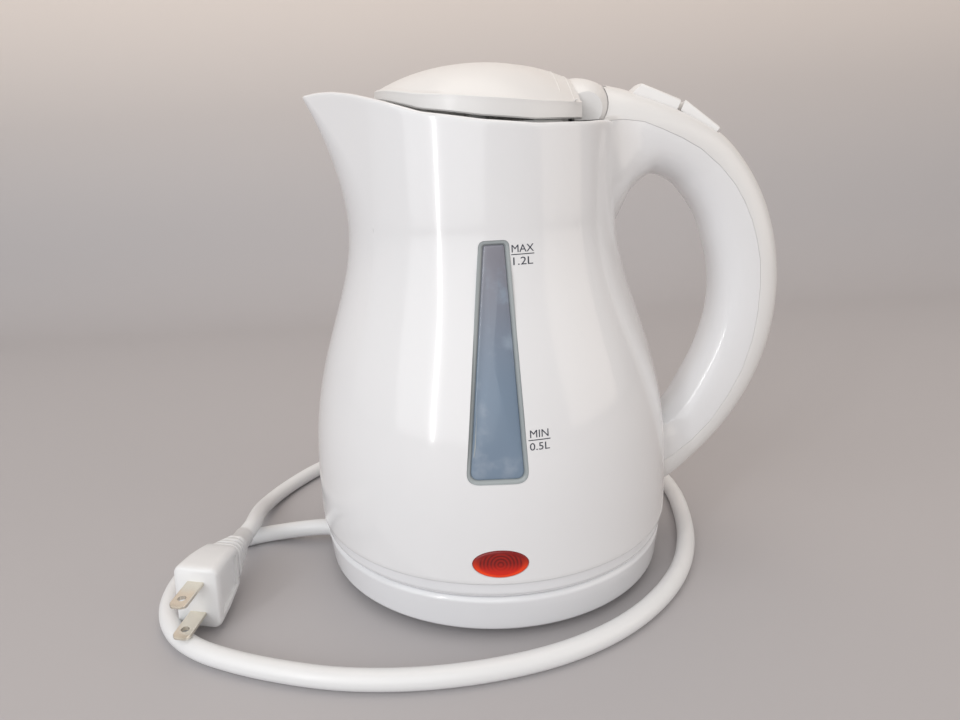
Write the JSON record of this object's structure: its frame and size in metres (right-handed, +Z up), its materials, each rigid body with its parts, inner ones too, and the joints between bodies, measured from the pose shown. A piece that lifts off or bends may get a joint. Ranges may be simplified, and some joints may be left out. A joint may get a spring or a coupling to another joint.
{
  "type": "electric kettle",
  "caption": "Cordless jug kettle with hinged lid, gauge window, loop handle and switch on a round power base with cord and plug.",
  "frame": {"origin": "on the kettle's and the base's common axis, in the plane of the feet that stand on the table", "axes": "+Z up, +X towards the handle, -X towards the lip, -Y the side with the gauge window and the lamp"},
  "size_m": [0.2506, 0.217, 0.1982],
  "materials": {
    "body_plastic": "glossy white polypropylene",
    "lid_plastic": "glossy white polypropylene",
    "key_plastic": "satin white plastic",
    "base_plastic": "glossy white plastic",
    "inner_plastic": "matt white plastic",
    "dark_plastic": "matt dark grey plastic",
    "cord_vinyl": "satin white vinyl",
    "window_clear": "translucent grey-blue plastic",
    "lens_red": "clear red-orange plastic",
    "silicone": "translucent silicone",
    "foot_rubber": "matt grey rubber",
    "steel": "brushed stainless steel",
    "aluminium": "die-cast aluminium",
    "contact_metal": "bare brass",
    "blade_metal": "nickel-plated",
    "lamp_glass": "small neon lamp",
    "wire_vinyl": "brown and blue vinyl"
  },
  "bodies": {
    "base": {"base_cover": "base_plastic", "splash_collar": "base_plastic", "base_plate": "base_plastic", "base_feet": "foot_rubber", "base_screws": "steel", "strain_relief": "cord_vinyl", "cord_clamp": "inner_plastic", "base_leads": "wire_vinyl", "cord": "cord_vinyl", "plug_body": "cord_vinyl", "plug_blades": "blade_metal"},
    "turntable": {"base_connector": "dark_plastic", "connector_contacts": "contact_metal"},
    "kettle": {"body_shell": "body_plastic", "handle_frame": "body_plastic", "bottom_cover": "base_plastic", "bottom_screws": "steel", "heating_plate": "steel", "plate_seal": "silicone", "heat_spreader": "aluminium", "heating_element": "steel", "kettle_coupler": "dark_plastic", "coupler_contacts": "contact_metal", "boil_dry_discs": "contact_metal", "gauge_window": "window_clear", "window_gasket": "silicone", "lamp_lens": "lens_red", "neon_lamp": "lamp_glass", "spout_filter": "inner_plastic", "handle_cover": "lid_plastic", "hinge_bracket": "inner_plastic", "hinge_pin": "steel", "lid_spring": "steel", "latch_spring": "steel", "switch_carrier": "inner_plastic", "button_spring": "steel", "rocker_pin": "steel", "toggle_spring": "steel", "switch_block": "dark_plastic", "steam_disc": "contact_metal", "handle_leads": "wire_vinyl"},
    "lid": {"lid_cover": "lid_plastic", "lid_hinge": "lid_plastic", "lid_base": "inner_plastic", "lid_seal": "silicone", "lid_screws": "steel", "catch_hook": "inner_plastic"},
    "release_button": {"release_button": "key_plastic"},
    "latch_slider": {"latch_slider": "inner_plastic"},
    "power_switch": {"power_switch": "key_plastic"}
  },
  "joints": [
    {"name": "swivel", "type": "hinge", "parent": "base", "child": "turntable", "pos_m": [0, 0, 0], "axis": [0, 0, 1], "continuous": true},
    {"name": "lift", "type": "slide", "parent": "turntable", "child": "kettle", "axis": [0, 0, 1], "range_m": [0, 0.03]},
    {"name": "lid_hinge", "type": "hinge", "parent": "kettle", "child": "lid", "pos_m": [0.038, 0, 0.179], "axis": [0, 1, 0], "range_deg": [0, 65], "deforming": ["lid_spring", "catch_hook"]},
    {"name": "button_slide", "type": "slide", "parent": "kettle", "child": "release_button", "axis": [-0.4003, 0, -0.9164], "range_m": [0, 0.003], "stiffness_N_per_m": 600, "deforming": ["button_spring"]},
    {"name": "latch_slide", "type": "slide", "parent": "kettle", "child": "latch_slider", "axis": [1, 0, 0], "range_m": [0, 0.003], "stiffness_N_per_m": 200, "deforming": ["latch_spring"]},
    {"name": "switch_rock", "type": "hinge", "parent": "kettle", "child": "power_switch", "pos_m": [0.0825, 0, 0.1715], "axis": [0, -1, 0], "range_deg": [0, 6], "deforming": ["toggle_spring"]}
  ],
  "couplings": [
    {"joint": "latch_slide", "follows": "button_slide", "ratio": 1}
  ]
}
